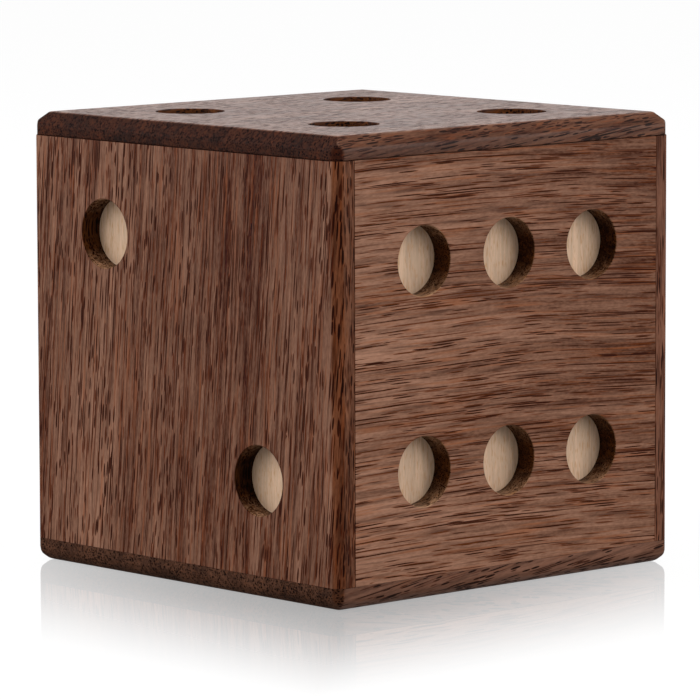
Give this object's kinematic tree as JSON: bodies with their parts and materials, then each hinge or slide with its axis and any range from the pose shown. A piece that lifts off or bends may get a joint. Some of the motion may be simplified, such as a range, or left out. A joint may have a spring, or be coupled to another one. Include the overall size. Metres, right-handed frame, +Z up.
{
  "type": "dice box with hinged lid",
  "caption": "Cube-shaped wooden box made as a die: walnut boards with bored pips over a pale lining, and a top board that opens as a lid on brass stop hinges.",
  "frame": {"origin": "centre of the underside of the cube, on the surface it stands on", "axes": "+Z up; -Y out of the six-pip face, -X out of the two-pip face, +Y out of the one-pip face, where the hinges are"},
  "size_m": [0.127, 0.1312, 0.127],
  "materials": {
    "walnut": "satin oil and wax over sanded black walnut",
    "lining": "plain sanded pale maple",
    "brass": "polished brass",
    "nickel": "nickel plating"
  },
  "bodies": {
    "box": {"bottom_board": "walnut", "front_board": "walnut", "back_board": "walnut", "left_board": "walnut", "right_board": "walnut", "floor_lining": "lining", "front_lining": "lining", "back_lining": "lining", "left_lining": "lining", "right_lining": "lining", "left_hinge_box_leaf": "brass", "right_hinge_box_leaf": "brass", "left_hinge_pin": "brass", "right_hinge_pin": "brass", "wall_screws": "brass", "wall_magnets": "nickel"},
    "lid": {"lid_board": "walnut", "lid_lining": "lining", "left_hinge_lid_leaf": "brass", "right_hinge_lid_leaf": "brass", "lid_screws": "brass", "lid_magnets": "nickel"}
  },
  "joints": [
    {"name": "lid_hinge", "type": "hinge", "parent": "box", "child": "lid", "pos_m": [0, 0.06575, 0.1206], "axis": [-1, 0, 0], "range_deg": [0, 95]}
  ]
}
